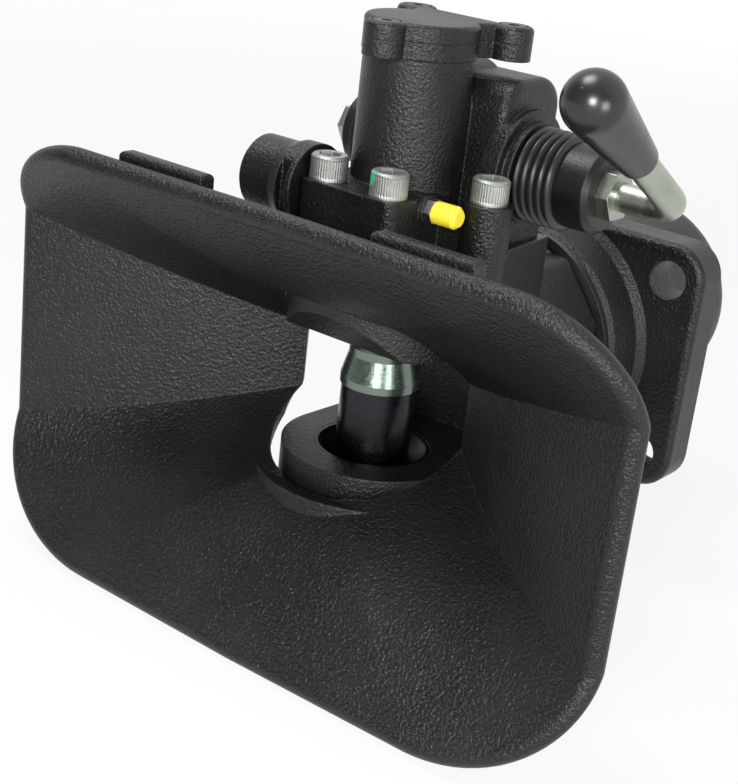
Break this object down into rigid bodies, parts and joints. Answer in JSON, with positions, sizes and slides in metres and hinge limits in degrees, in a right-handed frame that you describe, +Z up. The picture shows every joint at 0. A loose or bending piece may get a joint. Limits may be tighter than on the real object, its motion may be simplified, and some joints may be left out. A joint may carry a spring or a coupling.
{
  "type": "pin trailer coupling",
  "caption": "Automatic pin coupling for a trailer drawbar: wide guide funnel, upright pin raised by a hand lever, and a fork head that rolls in a bolted flange.",
  "frame": {"origin": "on the drawbar axis in the rear face of the flange plate, the middle of the flange's bolt holes", "axes": "+X right as seen from the funnel, towards the hand lever; +Y back towards the towing vehicle; +Z up"},
  "size_m": [0.3708, 0.3841, 0.3103],
  "materials": {
    "black_paint": "semi-gloss paint over a fine cast grain",
    "plain_steel": "machined, lightly oiled",
    "zinc_bolts": "zinc plated, satin",
    "zinc_pin": "zinc plated, polished by use",
    "zinc_rod": "zinc plated, satin",
    "bronze": "machined bearing bronze",
    "black_rubber": "matte",
    "yellow_plastic": "moulded, satin",
    "black_grip": "gloss"
  },
  "bodies": {
    "flange": {"flange_housing": "black_paint", "front_bush": "bronze", "rear_bush": "bronze", "dust_seal": "black_rubber", "rear_cup": "black_paint"},
    "head": {"coupling_head": "black_paint", "thrust_washer": "plain_steel", "castle_nut": "plain_steel", "split_pin": "plain_steel", "upper_bush": "bronze", "lower_bush": "plain_steel", "funnel_circlip": "plain_steel", "mechanism_housing": "black_paint", "top_cover": "black_paint", "cover_screws": "zinc_bolts", "housing_bolts": "zinc_bolts", "grease_nipple": "plain_steel", "nipple_cap": "yellow_plastic", "indicator_sleeve": "black_paint", "shaft_bushes": "bronze", "bellows": "black_rubber", "closing_spring": "plain_steel"},
    "funnel": {"funnel": "black_paint"},
    "lever": {"lever_shaft": "plain_steel", "lift_arm": "plain_steel", "left_collar": "black_paint", "left_bolt": "zinc_bolts", "lever_hub": "black_paint", "hand_lever": "zinc_rod", "lever_grip": "black_grip"},
    "pin": {"coupling_pin": "zinc_pin"},
    "indicator": {"indicator_pin": "plain_steel"}
  },
  "joints": [
    {"name": "head_roll", "type": "hinge", "parent": "flange", "child": "head", "pos_m": [0, 0, 0], "axis": [0, 1, 0], "range_deg": [-25, 25]},
    {"name": "funnel_swing", "type": "hinge", "parent": "head", "child": "funnel", "pos_m": [0, -0.163, 0], "axis": [0, 0, 1], "range_deg": [-20, 20]},
    {"name": "lever_turn", "type": "hinge", "parent": "head", "child": "lever", "pos_m": [0, -0.1245, 0.1135], "axis": [-1, 0, 0], "range_deg": [0, 96], "stiffness_Nm_per_rad": 1, "springref_deg": -28.65},
    {"name": "pin_lift", "type": "slide", "parent": "head", "child": "pin", "axis": [0, 0, 1], "range_m": [0, 0.0818]},
    {"name": "indicator_slide", "type": "slide", "parent": "head", "child": "indicator", "axis": [-1, 0, 0], "range_m": [0, 0.0101]}
  ],
  "couplings": [
    {"joint": "pin_lift", "follows": "lever_turn", "m_per_rad": 0.04879},
    {"joint": "indicator_slide", "follows": "lever_turn", "m_per_rad": 0.00597}
  ]
}
